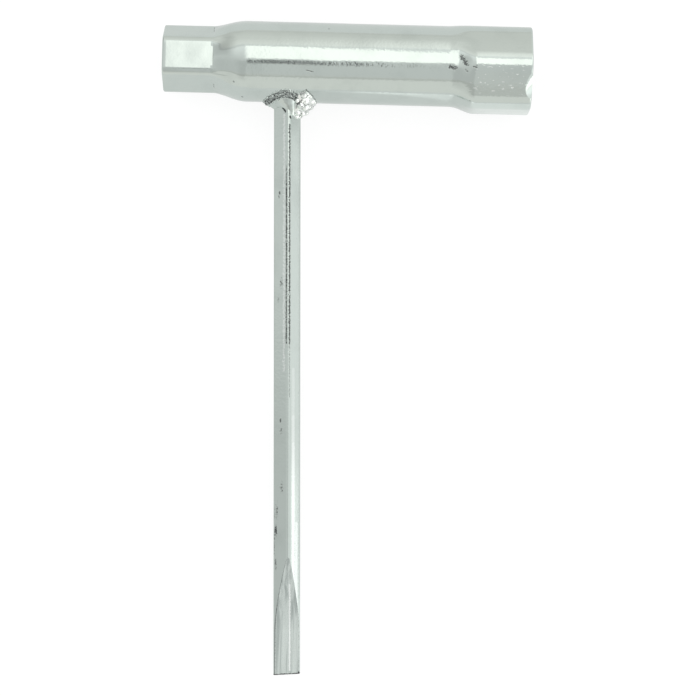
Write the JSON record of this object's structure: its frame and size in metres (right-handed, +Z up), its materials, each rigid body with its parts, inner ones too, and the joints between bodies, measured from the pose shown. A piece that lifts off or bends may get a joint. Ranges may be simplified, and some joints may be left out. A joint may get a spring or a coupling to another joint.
{
  "type": "chainsaw combination wrench",
  "caption": "T-shaped steel service wrench: a tube with a hexagon socket formed in each end, and a square bar welded across it that ends in a flat screwdriver blade.",
  "frame": {"origin": "middle of the part's footprint box, on the table that it lies on", "axes": "+Z up from the table; +Y from the blade's tip towards the tube; +X along the tube towards the large socket, which lies about a degree off the tube's own axis"},
  "size_m": [0.11, 0.1948, 0.0279],
  "materials": {
    "zinc_plated_steel": "bright zinc plating on steel, satin, with drawing and grinding marks",
    "plated_weld_metal": "zinc plated weld metal, rippled, with dark sooty toes"
  },
  "bodies": {
    "root": {"socket_tube": "zinc_plated_steel", "driver_bar": "zinc_plated_steel", "weld_bead_small_side": "plated_weld_metal", "weld_bead_large_side": "plated_weld_metal"}
  },
  "joints": []
}
